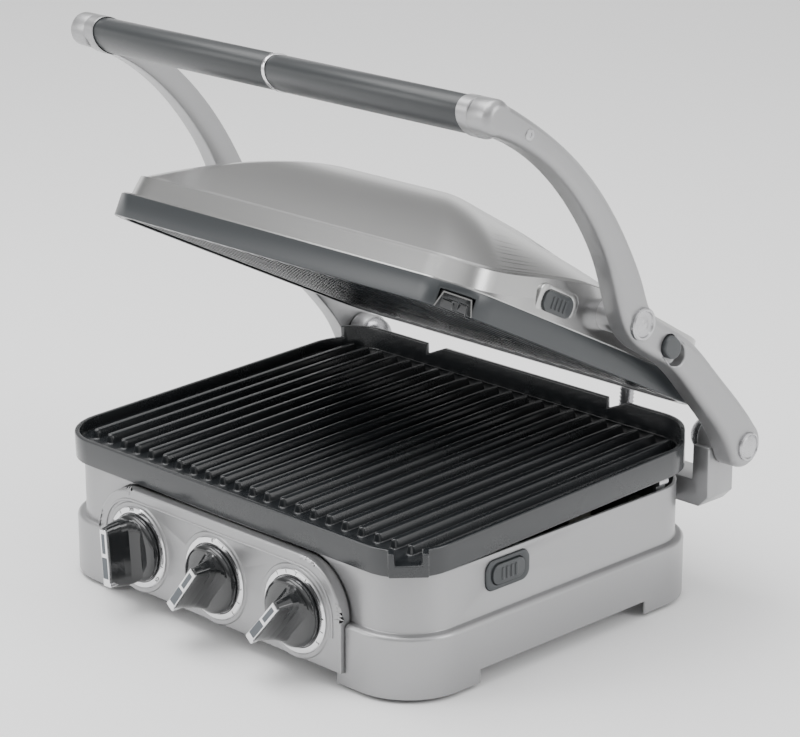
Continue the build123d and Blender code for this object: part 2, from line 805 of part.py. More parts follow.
lid_corner_cut = lid_corner * (1 - cos(radians(45)))
lid_spout = (lid_half_width - lid_corner_cut, lid_front + lid_corner_cut)
with BuildPart() as lid_band:
    with BuildSketch(lid_plane.offset(lid_bottom)):
        add(lid_plan(0))
        add(lid_plan(band_wall), mode=Mode.SUBTRACT)
    extrude(amount=band_height)
    with BuildSketch(lid_plane.offset(shell_bottom - band_shelf_thickness)):
        add(lid_plan(band_wall))
        add(lid_plan(band_wall + band_shelf), mode=Mode.SUBTRACT)
    extrude(amount=band_shelf_thickness)
    with BuildSketch(lid_plane.offset(lid_bottom)):
        with Locations(lid_spout):
            Rectangle(14, upper_spout_width, rotation=-45)
    extrude(amount=band_height - 4, mode=Mode.SUBTRACT)
save(lid_band, "lid_band")

upper_inset = band_wall + clearance
upper_top = shell_bottom - band_shelf_thickness - clearance
upper_floor = lid_bottom + upper_floor_depth
upper_ridge_length = lid_rear - lid_front - ridge_front_gap - ridge_rear_gap
upper_ridge_count = 1 + int(2 * (lid_half_width - upper_ridge_edge) / ridge_pitch)
with BuildPart() as upper_plate:
    with BuildSketch(lid_plane.offset(lid_bottom)):
        add(lid_plan(upper_inset))
    extrude(amount=upper_top - lid_bottom)
    with BuildSketch(lid_plane.offset(lid_bottom)):
        add(lid_plan(upper_inset + rim_wall))
    extrude(amount=upper_floor_depth, mode=Mode.SUBTRACT)
    with BuildSketch(lid_plane.offset(upper_floor + floor_thickness)):
        add(lid_plan(upper_inset + rim_wall))
    extrude(amount=20, mode=Mode.SUBTRACT)
    with BuildSketch(lid_plane.offset(lid_bottom)):
        with Locations(lid_spout):
            Rectangle(22, upper_spout_width - 6, rotation=-45)
    extrude(amount=upper_floor_depth, mode=Mode.SUBTRACT)
    with BuildSketch(lid_plane.offset(upper_floor)):
        with Locations((0, (lid_front + lid_rear) / 2)):
            with GridLocations(ridge_pitch, 0, upper_ridge_count, 1):
                SlotOverall(upper_ridge_length, ridge_width, rotation=90)
    extrude(amount=-(ridge_height - 0.4), taper=ridge_taper)
save(upper_plate, "upper_grill_plate")

upper_element_half = lid_half_width - upper_element_margin
upper_element_plane = lid_plane.offset(upper_floor + floor_thickness + element_radius + 1.5)
upper_element = element_loop(upper_element_plane, upper_element_half, lid_front + 30, lid_rear - 24)
save(upper_element, "upper_heating_element")

with BuildPart() as upper_reflector:
    with BuildSketch(lid_plane.offset(shell_bottom + reflector_rise)):
        add(reflector_plan(upper_element_half, lid_front, lid_rear, 0))
    extrude(amount=sheet)
save(upper_reflector, "upper_heat_reflector")

for side, name in ((-1, "left"), (1, "right")):
    with BuildPart() as boss:
        with BuildSketch(Plane.YZ.offset(side * (lid_half_width - boss_reach))):
            with Locations((pivot_y, pivot_z)):
                Circle(lid_boss_radius)
        extrude(amount=side * (boss_reach + arm_inner_x - lid_half_width - bracket_side_gap))
        with BuildSketch(Plane.YZ.offset(side * (lid_half_width - boss_reach + 2))):
            with Locations((pivot_y, pivot_z)):
                Circle(lid_pin_radius + running_fit)
        extrude(amount=side * (boss_reach + arm_inner_x - lid_half_width), mode=Mode.SUBTRACT)
    save(boss, f"lid_pivot_boss_{name}")


# ---------------------------------------------------------------- release buttons
def bezel_piece(plane, spot, depth):
    """Frame around a release button, standing a little proud of the wall it sits in."""
    with BuildPart() as bezel:
        with BuildSketch(plane.offset(-depth)):
            with Locations(spot):
                RectangleRounded(bezel_length, bezel_height, bezel_corner)
                RectangleRounded(button_length + 2 * clearance, button_height + 2 * clearance, 5.4,
                                 mode=Mode.SUBTRACT)
        extrude(amount=depth + bezel_proud)
    return bezel


def button_piece(plane, spot, depth):
    """Push button with upright finger bars on its face."""
    with BuildPart() as button:
        with BuildSketch(plane.offset(-depth)):
            with Locations(spot):
                RectangleRounded(button_length, button_height, 5)
        extrude(amount=depth + button_proud - 0.8)
        with BuildSketch(plane.offset(button_proud - 0.8)):
            with Locations(spot):
                with GridLocations(3.6, 0, grip_bar_count, 1):
                    SlotOverall(7.5, 1.8, rotation=90)
        extrude(amount=0.8)
    return button


side_plane = Plane.YZ.offset(step_half_width)
lower_spot = (lower_button_y, lower_button_z)
save(bezel_piece(side_plane, lower_spot, bezel_depth), "lower_button_bezel")
save(button_piece(side_plane, lower_spot, button_depth), "lower_release_button")

with BuildPart() as lower_latch:
    with BuildSketch(side_plane.offset(-button_depth - lower_latch_reach)):
        with Locations(lower_spot):
            Rectangle(latch_length, latch_thickness)
    extrude(amount=lower_latch_reach)
save(lower_latch, "lower_latch_bar")

upper_wall_x = lid_half_width - shell_inset - shell_taper / 2
upper_plane = lid_side.offset(upper_wall_x)
upper_spot = (upper_button_y, upper_button_z)
save(bezel_piece(upper_plane, upper_spot, bezel_depth), "upper_button_bezel")
save(button_piece(upper_plane, upper_spot, button_depth), "upper_release_button")

with BuildPart() as upper_latch:
    with BuildSketch(upper_plane.offset(-button_depth - upper_latch_reach)):
        with Locations((upper_button_y, upper_button_z + 2)):
            Rectangle(latch_length, latch_thickness)
    extrude(amount=upper_latch_reach)
save(upper_latch, "upper_latch_bar")

# ---------------------------------------------------------------- conduit and glands
conduit_y = rear_wall_y + conduit_back
block_middle_z = (step_z + lip_z) / 2
block_top_z = block_middle_z + conduit_block / 2
with BuildPart() as base_gland:
    with Locations((conduit_x, rear_wall_y, block_middle_z)):
        Box(conduit_block, conduit_back + conduit_radius + 1.5, conduit_block,
            align=(Align.CENTER, Align.MIN, Align.CENTER))
    fillet(base_gland.edges().filter_by(Axis.Z), 2)
    with BuildSketch(Plane.XY.offset(block_top_z)):
        with Locations((conduit_x, conduit_y)):
            Circle(conduit_radius)
    extrude(amount=-conduit_block / 2, mode=Mode.SUBTRACT)
save(base_gland, "conduit_gland_lower")

gland_depth = 10.0
with BuildPart() as lid_gland:
    with BuildSketch(lid_gland_plane.offset(lid_gland_reach - gland_depth)):
        Circle(gland_radius)
        Circle(conduit_radius, mode=Mode.SUBTRACT)
    extrude(amount=gland_depth)
save(lid_gland, "conduit_gland_upper")


def bend_radii(points):
    """Radius of each bend of a route, as large as its two straight runs allow."""
    radii = []
    for before, corner, after in zip(points, points[1:], points[2:]):
        arriving = Vector(*corner) - Vector(*before)
        leaving = Vector(*after) - Vector(*corner)
        turn = radians(arriving.get_angle(leaving))
        radii.append(0.45 * min(arriving.length, leaving.length) / tan(turn / 2))
    return radii


conduit_end = lid_gland_plane.from_local_coords((0, 0, lid_gland_reach - gland_depth))
conduit_turn = lid_gland_plane.from_local_coords((0, 0, lid_gland_reach + conduit_straight))
conduit_route = (
    (conduit_x, conduit_y, block_middle_z + 1),
    (conduit_x, conduit_y, block_top_z + conduit_rise),
    (conduit_x, conduit_turn.Y, conduit_turn.Z),
    (conduit_x, conduit_end.Y, conduit_end.Z),
)
conduit_radii = bend_radii(conduit_route)
print("conduit bend radii", [round(radius, 1) for radius in conduit_radii])
with BuildPart() as conduit:
    with BuildLine() as conduit_path:
        FilletPolyline(*conduit_route, radius=conduit_radii)
    with BuildSketch(Plane(origin=conduit_path.line @ 0, z_dir=conduit_path.line % 0)):
        Circle(conduit_radius)
    sweep()
save(conduit, "lid_conduit")

cord_gland_start = rear_wall_y - housing_wall - 3
with BuildPart() as cord_gland:
    with BuildSketch(front_plane(cord_gland_start)):
        with Locations((cord_gland_x, cord_gland_z)):
            Circle(cord_gland_radius)
            Circle(cord_radius, mode=Mode.SUBTRACT)
    extrude(amount=-cord_gland_length)
    for i in range(cord_gland_ribs):
        with BuildSketch(front_plane(rear_wall_y + 3 + i * cord_gland_rib_pitch)):
            with Locations((cord_gland_x, cord_gland_z)):
                Circle(cord_gland_radius + 1)
                Circle(cord_gland_radius - 1.2, mode=Mode.SUBTRACT)
        extrude(amount=-cord_gland_rib_pitch / 2, mode=Mode.SUBTRACT)
save(cord_gland, "cord_gland")

with BuildPart() as terminal_block:
    terminal_y = rear_wall_y - terminal_gap - terminal_size[1] / 2
    with Locations((cord_gland_x - terminal_size[0], terminal_y, cord_gland_z - terminal_size[2] / 2)):
        Box(*terminal_size)
save(terminal_block, "terminal_block")
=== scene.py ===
"""Looks of an electric panini press: steel lid and silver base, coated ribbed plates, chromed dials.

Metres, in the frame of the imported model: +Z up, the knobs face -Y, +X to the right.
"""
from math import cos, pi, radians, sin

import bmesh
import bpy
from mathutils import Matrix, Vector


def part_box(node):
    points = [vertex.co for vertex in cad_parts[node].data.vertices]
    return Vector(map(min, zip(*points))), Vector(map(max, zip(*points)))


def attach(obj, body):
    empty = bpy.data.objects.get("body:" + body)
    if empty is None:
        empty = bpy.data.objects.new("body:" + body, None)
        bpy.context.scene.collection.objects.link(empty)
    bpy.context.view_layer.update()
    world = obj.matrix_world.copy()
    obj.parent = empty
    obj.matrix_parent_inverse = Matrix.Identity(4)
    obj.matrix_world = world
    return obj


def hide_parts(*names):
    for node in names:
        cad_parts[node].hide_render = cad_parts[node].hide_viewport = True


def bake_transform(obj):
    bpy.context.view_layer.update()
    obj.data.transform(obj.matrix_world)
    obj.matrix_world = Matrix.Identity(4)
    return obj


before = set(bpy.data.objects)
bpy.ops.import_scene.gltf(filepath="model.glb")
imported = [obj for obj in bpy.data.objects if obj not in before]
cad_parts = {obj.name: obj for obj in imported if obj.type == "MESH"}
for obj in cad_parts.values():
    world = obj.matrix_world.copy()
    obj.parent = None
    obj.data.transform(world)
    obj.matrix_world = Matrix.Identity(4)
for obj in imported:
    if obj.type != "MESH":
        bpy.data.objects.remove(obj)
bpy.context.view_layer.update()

# ---------------------------------------------------------------- studio
# A white table that runs into a white backdrop, two large soft lights and a front fill.
# The sky is bright overhead and greyer low down, which draws the soft bands on bright metal.
camera_azimuth = radians(45.26)
camera_height = radians(17.87)
camera_distance = 1.7128
camera_aim = Vector((0.0, 0.0215, 0.1295))
lens_mm = 129.0

outward = Vector((
    cos(camera_height) * sin(camera_azimuth),
    -cos(camera_height) * cos(camera_azimuth),
    sin(camera_height),
))
camera_data = bpy.data.cameras.new("camera")
camera_data.lens = lens_mm
camera_data.sensor_width = 36.0
camera = bpy.data.objects.new("camera", camera_data)
camera.location = camera_aim + outward * camera_distance
camera.rotation_euler = (-outward).to_track_quat("-Z", "Y").to_euler()
bpy.context.scene.collection.objects.link(camera)
bpy.context.scene.camera = camera


def area_light(name, place, aim, size, power):
    """A square soft light that looks from one point to another."""
    light = bpy.data.lights.new(name, "AREA")
    light.size = size
    light.energy = power
    lamp = bpy.data.objects.new(name, light)
    lamp.location = place
    lamp.rotation_euler = (Vector(aim) - Vector(place)).to_track_quat("-Z", "Y").to_euler()
    bpy.context.scene.collection.objects.link(lamp)


area_light("top_light", (-0.3, -0.2, 1.5), (0, 0, 0.1), 1.2, 20)
area_light("side_light", (1.6, 0.5, 0.9), (0, 0, 0.15), 0.9, 12)
area_light("front_light", (-0.9, -1.5, 0.9), (0, 0, 0.15), 0.8, 9)

world = bpy.data.worlds.new("studio")
bpy.context.scene.world = world
world.use_nodes = True
sky = world.node_tree
sky_direction = sky.nodes.new("ShaderNodeTexCoord")
sky_split = sky.nodes.new("ShaderNodeSeparateXYZ")
sky_ramp = sky.nodes.new("ShaderNodeValToRGB")
sky_ramp.color_ramp.elements[0].position = 0.0
sky_ramp.color_ramp.elements[0].color = (0.93, 0.93, 0.93, 1)
sky_ramp.color_ramp.elements[1].position = 1.0
sky_ramp.color_ramp.elements[1].color = (0.75, 0.75, 0.76, 1)
sky.nodes["Background"].inputs["Strength"].default_value = 1.7
for place, grey in ((0.10, 1.0), (0.26, 0.22), (0.5, 0.30), (0.75, 0.85)):
    stop = sky_ramp.color_ramp.elements.new(place)
    stop.color = (grey, grey, grey, 1)
sky.links.new(sky_direction.outputs["Generated"], sky_split.inputs["Vector"])
sky.links.new(sky_split.outputs["Z"], sky_ramp.inputs["Fac"])
sky.links.new(sky_ramp.outputs["Color"], sky.nodes["Background"].inputs["Color"])

floor_mesh = bpy.data.meshes.new("floor")
bm = bmesh.new()
bmesh.ops.create_grid(bm, x_segments=1, y_segments=1, size=4.0)
bm.to_mesh(floor_mesh)
bm.free()
floor = bpy.data.objects.new("floor", floor_mesh)
floor.location = (0, 0, -0.0004)
bpy.context.scene.collection.objects.link(floor)
floor_paint = bpy.data.materials.new("floor_paint")
floor_paint.use_nodes = True
floor_shader = floor_paint.node_tree.nodes["Principled BSDF"]
floor_shader.inputs["Base Color"].default_value = (0.94, 0.94, 0.94, 1)
floor_shader.inputs["Roughness"].default_value = 0.9
floor_shader.inputs["Specular IOR Level"].default_value = 0.1
floor.data.materials.append(floor_paint)

# ---------------------------------------------------------------- base housing
# Die-formed shell with a stepped shoulder, sprayed with a fine satin silver paint whose flakes
# give it a faint sparkle. It stands on four short legs with rubber pads.


def shader_group(name, inputs, outputs):
    """An empty shader node group with named sockets, and its two end nodes."""
    group = bpy.data.node_groups.new(name, "ShaderNodeTree")
    for socket, kind, value in inputs:
        group.interface.new_socket(socket, in_out="INPUT", socket_type=kind).default_value = value
    for socket, kind in outputs:
        group.interface.new_socket(socket, in_out="OUTPUT", socket_type=kind)
    return group, group.nodes.new("NodeGroupInput"), group.nodes.new("NodeGroupOutput")


surface_grain, grain_in, grain_out = shader_group(
    "surface_grain",
    (
        ("Stretch", "NodeSocketVector", (1.0, 1.0, 1.0)),
        ("Size", "NodeSocketFloat", 900.0),
        ("Colour", "NodeSocketColor", (0.5, 0.5, 0.5, 1)),
        ("Contrast", "NodeSocketFloat", 0.05),
        ("Roughness", "NodeSocketFloat", 0.4),
        ("Spread", "NodeSocketFloat", 0.05),
        ("Smudge", "NodeSocketFloat", 0.03),
    ),
    (("Colour", "NodeSocketColor"), ("Roughness", "NodeSocketFloat"), ("Height", "NodeSocketFloat")),
)


def node(tree, kind, **sockets):
    """A shader node with some of its input sockets set."""
    made = tree.nodes.new(kind)
    for socket, value in sockets.items():
        made.inputs[socket.replace("_", " ")].default_value = value
    return made


def arithmetic(tree, operation, first, second):
    """A Math node on two sockets or numbers; gives back its output."""
    made = tree.nodes.new("ShaderNodeMath")
    made.operation = operation
    for place, value in enumerate((first, second)):
        if isinstance(value, (int, float)):
            made.inputs[place].default_value = value
        else:
            tree.links.new(value, made.inputs[place])
    return made.outputs[0]


grain_place = surface_grain.nodes.new("ShaderNodeTexCoord")
grain_scale = surface_grain.nodes.new("ShaderNodeVectorMath")
grain_scale.operation = "MULTIPLY"
grain_noise = node(surface_grain, "ShaderNodeTexNoise", Detail=3.0)
smudge_noise = node(surface_grain, "ShaderNodeTexNoise", Scale=14.0, Detail=2.0)
grain_tint = surface_grain.nodes.new("ShaderNodeHueSaturation")
link = surface_grain.links.new
link(grain_place.outputs["Object"], grain_scale.inputs[0])
link(grain_in.outputs["Stretch"], grain_scale.inputs[1])
link(grain_scale.outputs[0], grain_noise.inputs["Vector"])
link(grain_in.outputs["Size"], grain_noise.inputs["Scale"])
link(grain_place.outputs["Object"], smudge_noise.inputs["Vector"])
grain_value = arithmetic(surface_grain, "SUBTRACT", grain_noise.outputs["Fac"], 0.5)
smudge_value = arithmetic(surface_grain, "SUBTRACT", smudge_noise.outputs["Fac"], 0.5)
brightness = arithmetic(surface_grain, "MULTIPLY", grain_value, grain_in.outputs["Contrast"])
link(arithmetic(surface_grain, "ADD", brightness, 1.0), grain_tint.inputs["Value"])
link(grain_in.outputs["Colour"], grain_tint.inputs["Color"])
link(grain_tint.outputs["Color"], grain_out.inputs["Colour"])
rougher = arithmetic(surface_grain, "MULTIPLY", grain_value, grain_in.outputs["Spread"])
smudged = arithmetic(surface_grain, "MULTIPLY", smudge_value, grain_in.outputs["Smudge"])
rough_sum = arithmetic(surface_grain, "ADD", arithmetic(surface_grain, "ADD", rougher, smudged),
                       grain_in.outputs["Roughness"])
link(rough_sum, grain_out.inputs["Roughness"])
link(grain_noise.outputs["Fac"], grain_out.inputs["Height"])


def finish(name, colour, roughness, grain, bump, **constants):
    """A material on the shared grain: grain holds its stretch, size, contrast, spread and smudge."""
    material = bpy.data.materials.new(name)
    material.use_nodes = True
    tree = material.node_tree
    shader = tree.nodes["Principled BSDF"]
    for socket, value in constants.items():
        shader.inputs[socket.replace("_", " ")].default_value = value
    pattern = tree.nodes.new("ShaderNodeGroup")
    pattern.node_tree = surface_grain
    stretch, size, contrast, spread, smudge = grain
    for socket, value in (
        ("Stretch", stretch), ("Size", size), ("Colour", (*colour, 1)), ("Contrast", contrast),
        ("Roughness", roughness), ("Spread", spread), ("Smudge", smudge),
    ):
        pattern.inputs[socket].default_value = value
    relief = node(tree, "ShaderNodeBump", Strength=1.0, Distance=bump)
    tree.links.new(pattern.outputs["Colour"], shader.inputs["Base Color"])
    tree.links.new(pattern.outputs["Roughness"], shader.inputs["Roughness"])
    tree.links.new(pattern.outputs["Height"], relief.inputs["Height"])
    tree.links.new(relief.outputs["Normal"], shader.inputs["Normal"])
    return material


def finished_piece(name, bm, material, body, replaced=(), sharp=35):
    """Turn a bmesh into a smooth shaded piece that rides on a body and stands for CAD nodes.

    A piece that bends between two bodies is given no body here.
    """
    mesh = bpy.data.meshes.new(name)
    bm.to_mesh(mesh)
    bm.free()
    mesh.polygons.foreach_set("use_smooth", [True] * len(mesh.polygons))
    mesh.set_sharp_from_angle(angle=radians(sharp))
    mesh.materials.append(material)
    piece = bpy.data.objects.new(name, mesh)
    bpy.context.scene.collection.objects.link(piece)
    if body:
        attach(piece, body)
    if replaced:
        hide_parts(*replaced)
    return piece


def eased(source, material, body, width=0.0006, corner=28, steps=2):
    """A merged copy of a CAD node with its crisp edges rounded over by a small bevel."""
    bm = bmesh.new()
    bm.from_mesh(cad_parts[source].data)
    bmesh.ops.remove_doubles(bm, verts=bm.verts, dist=2e-6)
    bmesh.ops.dissolve_limit(bm, angle_limit=radians(0.6), verts=bm.verts, edges=bm.edges)
    crisp = [
        edge for edge in bm.edges
        if len(edge.link_faces) == 2 and edge.calc_face_angle(0) > radians(corner)
    ]
    bmesh.ops.bevel(bm, geom=crisp, offset=width, segments=steps, profile=0.5, affect="EDGES",
                    material=-1, clamp_overlap=False)
    bmesh.ops.triangulate(bm, faces=[face for face in bm.faces if len(face.verts) > 4])
    return finished_piece(source + "_finished", bm, material, body, (source,), 38)


silver = finish(
    "satin_silver", (0.36, 0.36, 0.365), 0.36, ((1, 1, 1), 1500.0, 0.10, 0.10, 0.05), 0.00002,
    Metallic=0.75, Coat_Weight=0.12, Coat_Roughness=0.25,
)
eased("base_housing", silver, "base")


def repaint(material, *names):
    """Give carried-over CAD nodes a finished material."""
    for name in names:
        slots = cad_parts[name].material_slots
        for place in slots:
            place.material = material


zinc = finish(
    "zinc_steel", (0.55, 0.55, 0.56), 0.34, ((1, 1, 1), 260.0, 0.12, 0.12, 0.10), 0.00002, Metallic=1.0,
)
pad_rubber = finish(
    "pad_rubber", (0.03, 0.03, 0.03), 0.75, ((1, 1, 1), 900.0, 0.2, 0.1, 0.05), 0.00006,
)
repaint(zinc, "base_bottom_cover", "bottom_cover_screws", "control_bracket", "lower_heat_reflector",
        "upper_heat_reflector", "hinge_pins", "lid_pivot_pins", "lid_pivot_boss_left",
        "lid_pivot_boss_right", "lower_latch_bar", "upper_latch_bar", "knob_left_shaft",
        "knob_centre_shaft", "knob_right_shaft", "handle_core_rod", "hinge_bracket_screws")
repaint(pad_rubber, "rubber_feet")

# ---------------------------------------------------------------- control panel and dials
# The panel is a pressed silver hump with a raised bead along its top. Each dial is a turned,
# chromed ring with printed figures, set in a shallow step of the panel.
chrome = finish(
    "bright_chrome", (0.80, 0.80, 0.81), 0.10, ((1, 1, 1), 300.0, 0.03, 0.03, 0.06), 0.000004,
    Metallic=1.0,
)
ink = finish("dial_ink", (0.012, 0.012, 0.012), 0.5, ((1, 1, 1), 900.0, 0.1, 0.05, 0.0), 0.000004)


def round_outline(bm, half_width, low, high, corner, height=0.0, steps=8):
    """A flat face in the shape of a rounded rectangle, centred on x = 0."""
    corners = [(-half_width, low), (half_width, low), (half_width, high), (-half_width, high)]
    face = bm.faces.new([bm.verts.new((x, y, height)) for x, y in corners])
    bmesh.ops.bevel(bm, geom=face.verts[:], offset=corner, segments=steps, profile=0.5,
                    affect="VERTICES", material=-1)
    bm.faces.ensure_lookup_table()
    return bm.faces[-1]


def raise_face(bm, face, rise, stretch=(1.0, 1.0)):
    """Extrude a face upwards and scale the new one about its own centre."""
    grown = bmesh.ops.extrude_face_region(bm, geom=[face])["geom"]
    top = next(part for part in grown if isinstance(part, bmesh.types.BMFace))
    centre = top.calc_center_median()
    bmesh.ops.translate(bm, vec=(0, 0, rise), verts=top.verts)
    bmesh.ops.scale(bm, vec=(*stretch, 1.0), verts=top.verts, space=Matrix.Translation(-centre))
    return top


def turned(bm, profile, steps=64):
    """Spin a profile of (radius, height) points about the z axis."""
    points = [bm.verts.new((radius, 0, height)) for radius, height in profile]
    lines = [bm.edges.new(pair) for pair in zip(points, points[1:])]
    bmesh.ops.spin(bm, geom=points + lines, cent=(0, 0, 0), axis=(0, 0, 1), angle=2 * pi,
                   steps=steps, use_merge=True)
    bmesh.ops.remove_doubles(bm, verts=bm.verts, dist=1e-7)
    bmesh.ops.recalc_face_normals(bm, faces=bm.faces)


def facing_front(x, y, z, turn=0.0):
    """Place of something drawn in a plan whose height points to the front."""
    return Matrix.Translation((x, y, z)) @ Matrix.Rotation(pi / 2, 4, "X") @ Matrix.Rotation(turn, 4, "Z")


eased("control_panel", silver, "base", 0.0005)
panel_low, panel_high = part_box("control_panel")
panel_face_y = panel_low.y
bead_inset = 0.0055
bead_width = 0.0016
bead_rise = 0.0009
bead_foot = 0.030           # the bead stops at this height on each side

bm = bmesh.new()
bead_face = round_outline(bm, panel_high.x - bead_inset, 0.0, panel_high.z - bead_inset, 0.0265, 0.0, 14)
bmesh.ops.inset_region(bm, faces=[bead_face], thickness=bead_width, use_even_offset=True, use_boundary=True)
bmesh.ops.delete(bm, geom=[bead_face], context="FACES_ONLY")
bmesh.ops.bisect_plane(bm, geom=bm.verts[:] + bm.edges[:] + bm.faces[:], plane_co=(0, bead_foot, 0),
                       plane_no=(0, -1, 0), clear_outer=True)
grown = bmesh.ops.extrude_face_region(bm, geom=bm.faces[:])["geom"]
crown_edge = [part for part in grown if isinstance(part, bmesh.types.BMVert)]
bmesh.ops.translate(bm, vec=(0, 0, bead_rise), verts=crown_edge)
bmesh.ops.recalc_face_normals(bm, faces=bm.faces)
ridge_edges = [
    edge for edge in bm.edges
    if min(point.co.z for point in edge.verts) > bead_rise / 2 and edge.calc_face_angle(0) > 1.2
]
bmesh.ops.bevel(bm, geom=ridge_edges, offset=0.0006, segments=4, profile=0.5, affect="EDGES", material=-1)
bmesh.ops.transform(bm, matrix=facing_front(0, panel_face_y + 0.0001, 0), verts=bm.verts)
finished_piece("panel_bead", bm, silver, "base")

dial_sides = ("left", "centre", "right")
dial_figures = {
    "left": (("200", 155), ("300", 100), ("350", 55), ("400", 10), ("425", -40)),
    "centre": (("0", 90), ("1", 45), ("2", 0), ("3", -45)),
    "right": (("1", 125), ("2", 85), ("3", 45), ("4", 5), ("5", -35)),
}
figure_radius = 0.0231
figure_height = 0.0030
ring_profile = ((0.0209, -0.001), (0.0209, 0.0008), (0.0214, 0.0012), (0.0243, 0.0010), (0.0250, 0.0004),
                (0.0250, -0.001))
step_profile = ((0.0250, 0.0), (0.0250, 0.0005), (0.0256, 0.0008), (0.0272, 0.0008), (0.0279, 0.0))


def add_figure(bm, text, place, size):
    """Add a thin raised figure to a bmesh at a place, drawn upright in its own plan."""
    letter = bpy.data.curves.new("figure", "FONT")
    letter.body = text
    letter.size = size
    letter.align_x = "CENTER"
    letter.align_y = "CENTER"
    letter.extrude = 0.00006
    sample = bpy.data.objects.new("figure", letter)
    bpy.context.scene.collection.objects.link(sample)
    bpy.context.view_layer.update()
    shape = bpy.data.meshes.new_from_object(sample.evaluated_get(bpy.context.evaluated_depsgraph_get()))
    bpy.data.objects.remove(sample)
    before = len(bm.verts)
    bm.from_mesh(shape)
    bm.verts.ensure_lookup_table()
    bmesh.ops.transform(bm, matrix=place, verts=bm.verts[before:])


for side in dial_sides:
    ring_low, ring_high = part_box("dial_ring_" + side)
    dial_x = (ring_low.x + ring_high.x) / 2
    dial_z = (ring_low.z + ring_high.z) / 2
    bm = bmesh.new()
    turned(bm, ring_profile, 96)
    bmesh.ops.transform(bm, matrix=facing_front(dial_x, panel_face_y, dial_z), verts=bm.verts)
    finished_piece("dial_" + side, bm, chrome, "base", ("dial_ring_" + side,))

    bm = bmesh.new()
    turned(bm, step_profile, 96)
    bmesh.ops.transform(bm, matrix=facing_front(dial_x, panel_face_y, dial_z), verts=bm.verts)
    finished_piece("dial_step_" + side, bm, silver, "base")

    bm = bmesh.new()
    for text, direction in dial_figures[side]:
        spot = facing_front(dial_x, panel_face_y - 0.00112, dial_z, radians(direction - 90))
        add_figure(bm, text, spot @ Matrix.Translation((0, figure_radius, 0)), figure_height)
    spread = [direction for text, direction in dial_figures[side]]
    for first, second in zip(spread, spread[1:]):
        spot = facing_front(dial_x, panel_face_y - 0.00112, dial_z, radians((first + second) / 2 - 90))
        tick = bmesh.ops.create_cube(bm, size=1.0)["verts"]
        bmesh.ops.scale(bm, vec=(0.0004, 0.0021, 0.00012), verts=tick)
        bmesh.ops.transform(bm, matrix=spot @ Matrix.Translation((0, figure_radius, 0)), verts=tick)
    finished_piece("dial_figures_" + side, bm, ink, "base")

# ---------------------------------------------------------------- knobs
# Gloss black moulded knobs: a low round base and a tall blade across it, with concave sides.
# A chromed strip with a dark window is let into the blade's outer edge.
knob_black = finish(
    "knob_gloss", (0.012, 0.013, 0.014), 0.13, ((1, 1, 1), 700.0, 0.1, 0.04, 0.10), 0.000006,
    Coat_Weight=0.6, Coat_Roughness=0.06,
)
smoked_chrome = finish(
    "smoked_chrome", (0.12, 0.13, 0.14), 0.12, ((1, 1, 1), 300.0, 0.05, 0.04, 0.08), 0.000004,
    Metallic=1.0,
)
base_profile = ((0.0, -0.0004), (0.0200, -0.0004), (0.0204, 0.0004), (0.0204, 0.0038), (0.0198, 0.0052),
                (0.0180, 0.0061), (0.0130, 0.0066), (0.0, 0.0068))
# blade levels: height above the panel, length, width
blade_levels = ((0.0048, 0.0350, 0.0260), (0.0068, 0.0376, 0.0200), (0.0086, 0.0392, 0.0158),
                (0.0112, 0.0398, 0.0124), (0.0150, 0.0392, 0.0100), (0.0195, 0.0378, 0.0082),
                (0.0238, 0.0362, 0.0068), (0.0243, 0.0356, 0.0062))
knob_turns = {"left": radians(94.0), "centre": radians(52.0), "right": radians(49.0)}
strip_length = 0.0350
strip_width = 0.0056
strip_face = 0.0255         # height of the strip's face above the panel


def slab(bm, centre, length, width, low, high, corner, edge=0.0003):
    """A small rounded plate with an eased upper edge, in the knob's own plan."""
    face = round_outline(bm, length / 2, -width / 2, width / 2, corner, 0.0, 4)
    bmesh.ops.translate(bm, vec=(centre, 0, low), verts=face.verts)
    top = raise_face(bm, face, high - low - edge)
    raise_face(bm, top, edge, (1 - 2 * edge / length, 1 - 2 * edge / width))


